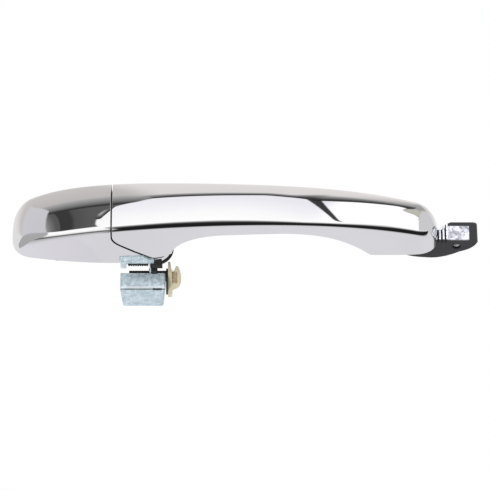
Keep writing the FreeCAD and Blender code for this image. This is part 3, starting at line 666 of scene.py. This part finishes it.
def form(name, inset):
    """The whole outer form, drawn in by inset, as one closed body with small flat ends."""
    # a form that is drawn in ends sooner, before its section shrinks to nothing
    start = INSET_NOSE_START if inset else 1
    turns = [math.pi / 2 * k / NOSE_STEPS for k in range(start, NOSE_STEPS)]
    rear = [REAR_X + REAR_NOSE - (REAR_NOSE - inset) * math.cos(a) ** (2 / REAR_NOSE_POWER) for a in turns]
    front = [FRONT_X - FRONT_NOSE + (FRONT_NOSE - inset) * math.cos(a) ** (2 / FRONT_NOSE_POWER)
             for a in reversed(turns)]
    first = REAR_X + REAR_NOSE
    last = FRONT_X - FRONT_NOSE
    count = round((last - first) / STEP)
    stations = rear + [first + (last - first) * k / count for k in range(count + 1)] + front
    rings = []
    for x in stations:
        side = section(x, inset)
        rings.append([(x, out, z) for out, z in side] + [(x, out, -z) for out, z in reversed(side[:-1])])
    size = len(rings[0])
    faces = [tuple(range(size)), tuple(range((len(rings) - 1) * size, len(rings) * size))]
    for r in range(len(rings) - 1):
        for k in range(size):
            a, b = r * size + k, r * size + (k + 1) % size
            faces.append((a, b, b + size, a + size))
    return solid(name, [p for ring in rings for p in ring], faces)


def prism(name, outline, place, dark=0):
    """A straight body: place turns an outline point and an end, -1 or 1, into (x, out, z)."""
    count = len(outline)
    points = [place(p, -1) for p in outline] + [place(p, 1) for p in outline]
    faces = [(k, (k + 1) % count, (k + 1) % count + count, k + count) for k in range(count)]
    faces += [tuple(range(count)), tuple(range(count, 2 * count))]
    return solid(name, points, faces, range(dark))


def side_prism(name, outline, dark=0):
    """A body that is straight across the handle, from an outline in (x, out)."""
    return prism(name, outline, lambda p, end: (p[0], p[1], end * FAR / 2), dark)


def cuboid(name, xs, outs, zs):
    """A box from its two ends in x, out and z."""
    corners = [(xs[0], outs[0]), (xs[1], outs[0]), (xs[1], outs[1]), (xs[0], outs[1])]
    return prism(name, corners, lambda p, end: (p[0], p[1], zs[(end + 1) // 2]))


def carve(body, operation, *tools):
    """Cuts tools away from body, or keeps only what lies in them, and removes the tools."""
    for tool in tools:
        step = body.modifiers.new("carve", "BOOLEAN")
        step.operation = operation
        step.object = tool
        step.solver = "EXACT"
        graph = bpy.context.evaluated_depsgraph_get()
        made = bpy.data.meshes.new_from_object(body.evaluated_get(graph))
        body.modifiers.clear()
        old = body.data
        body.data = made
        bpy.data.meshes.remove(old)
        bpy.data.objects.remove(tool)
    return body


def seam(dx, dout):
    """The seam between cap and strap in side view, from its top to the finger gap, moved by dx and dout."""
    points = [(SEAM_X, FAR), SEAM_TOP]
    points += bezier([SEAM_TOP, *SEAM_BEND, SEAM_BEND_END], CURVE_STEPS)
    points += [SEAM_HOOK_START]
    points += bezier([SEAM_HOOK_START, SEAM_HOOK, GAP_START], HOOK_STEPS)
    return [(x + dx, out + dout) for x, out in points]


def arch():
    """The back of the strap over the finger gap, in side view."""
    return bezier(ARCH_RISE, CURVE_STEPS) + [ARCH_FALL[0]] + bezier(ARCH_FALL, CURVE_STEPS)


def cap_footprint(inset):
    """Plan outline of the cap's seat as (x, z): open behind, with two full corners in front."""
    end = CAP_END_X - inset
    half = CAP_END_HALF - inset
    corner = CAP_CORNER - inset
    tight = corner * (1 - CAP_CORNER_FULLNESS)
    poles = [(end - corner, half), (end - tight, half), (end, half - tight), (end, half - corner)]
    upper = [(-FAR, FAR), (end - corner, FAR), poles[0]] + bezier(poles, CAP_CORNER_STEPS)
    return upper + [(x, -z) for x, z in reversed(upper)]


def cap_side(gap):
    """The cap's side of the seam in side view, drawn back from it by gap."""
    return seam(-gap, -gap) + [(FAR, CAP_SIDE_END_OUT), (FAR, BEHIND), (-FAR, BEHIND), (-FAR, FAR)]


def plan_prism(name, outline, outs):
    """A body that is straight off the skin, from an outline in (x, z)."""
    return prism(name, outline, lambda p, end: (p[0], outs[(end + 1) // 2], p[1]))


def foot_opening():
    """The room for the pivot foot through the strap's front end, tapered over the foot's neck."""
    foot = cuboid("foot_room", FOOT_ROOM_X, FOOT_ROOM_OUT, (-FOOT_ROOM_HALF, FOOT_ROOM_HALF))
    above = [(FRONT_X - FAR, NECK_START[1]), NECK_START, (NECK_END_X, FOOT_ROOM_HALF), (NECK_END_X, FAR),
             (FRONT_X - FAR, FAR)]
    return carve(foot, "DIFFERENCE", plan_prism("above_neck", above, (0.0, FAR)))


def smooth(body):
    """Shades smoothly across all but the sharp edges."""
    body.data.shade_smooth()
    body.data.set_sharp_from_angle(angle=SMOOTH_ANGLE)
    return body


# The faces cut along the seam are the first ones of each side outline, and are dark: painted shade in the
# gap.
seam_faces = len(seam(0, 0)) - 1
strap_end = FRONT_X + STRAP_SPARE

strap = form("strap_skin", 0.0)
strap_side = seam(0, 0) + arch() + [(RIM_START_X, RIM_OUT), (strap_end, RIM_OUT), (strap_end, FAR)]
carve(strap, "INTERSECT", side_prism("strap_side", strap_side, seam_faces))
strap_room = form("strap_room", WALL)
carve(strap_room, "INTERSECT", cuboid("room_part", (SEAM_X + WALL, FRONT_X), (-FAR, FAR), (-FAR, FAR)))
carve(strap, "DIFFERENCE", strap_room, foot_opening())
strap.name = "polished_strap"
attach(smooth(strap), "strap")
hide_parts("grip_shell")

cap = form("cap_skin", 0.0)
carve(cap, "INTERSECT", side_prism("cap_side", cap_side(SEAM_GAP), seam_faces),
      plan_prism("cap_plan", cap_footprint(0.0), (GASKET, FAR)))
cap_room = form("cap_room", WALL)
carve(cap_room, "INTERSECT", side_prism("room_side", cap_side(SEAM_GAP + WALL)),
      plan_prism("room_plan", cap_footprint(WALL), (-FAR, FAR)),
      cuboid("room_part", (-FAR, FRAME_END_X), (-FAR, FAR), (-FAR, FAR)))
carve(cap, "DIFFERENCE", cap_room, cuboid("leg_slot", LEG_SLOT_X, (-FAR, LEG_SLOT_OUT), LEG_SLOT_Z),
      cuboid("notch", NOTCH_X, NOTCH_OUT, (-FAR, NOTCH_Z)))
cap.name = "polished_cap"
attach(smooth(cap), "base")
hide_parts("cap_shell")


# ---------------------------------------------------------------- stage

floor_mesh = bpy.data.meshes.new("floor")
corners = [(-FLOOR_HALF, -FLOOR_HALF), (FLOOR_HALF, -FLOOR_HALF), (FLOOR_HALF, FLOOR_HALF),
           (-FLOOR_HALF, FLOOR_HALF)]
floor_mesh.from_pydata([(x, y, FLOOR_Z) for x, y in corners], [], [(0, 1, 2, 3)])
floor = bpy.data.objects.new("floor", floor_mesh)
bpy.context.scene.collection.objects.link(floor)
floor_finish, floor_graph, floor_shader = finish_of("pale_floor")
floor_tone = floor_graph.mix(floor_graph.noise(3.0, detail=2.0), (0.84, 0.84, 0.85), (0.88, 0.88, 0.89))
floor_graph.feed(floor_shader.inputs["Base Color"], floor_tone)
floor_shader.inputs["Roughness"].default_value = 0.9
floor_mesh.materials.append(floor_finish)
floor.visible_glossy = False

world = bpy.data.worlds.new("studio")
world.use_nodes = True
world.node_tree.nodes.clear()
Studio(world.node_tree).build()
bpy.context.scene.world = world
area_light("front_box", place=(0.08, -1.1, 0.35), aim=(0.08, 0, 0), size=(1.2, 0.9), power=12.0)
area_light("low_fill", place=(-0.4, -0.8, -0.7), aim=(0.05, 0, -0.01), size=(0.6, 0.4), power=7.0)

camera_data = bpy.data.cameras.new("camera")
camera_data.lens = CAMERA_LENS
camera_data.clip_start = CAMERA_NEAR
camera = bpy.data.objects.new("camera", camera_data)
aim = Vector(CAMERA_AIM)
back = Vector((0.0, -math.cos(CAMERA_ELEVATION), math.sin(CAMERA_ELEVATION)))
camera.location = aim + back * CAMERA_DISTANCE
camera.rotation_mode = "QUATERNION"
camera.rotation_quaternion = (-back).to_track_quat("-Z", "Y")
bpy.context.scene.collection.objects.link(camera)
bpy.context.scene.camera = camera
bpy.context.scene.view_settings.view_transform = "Standard"
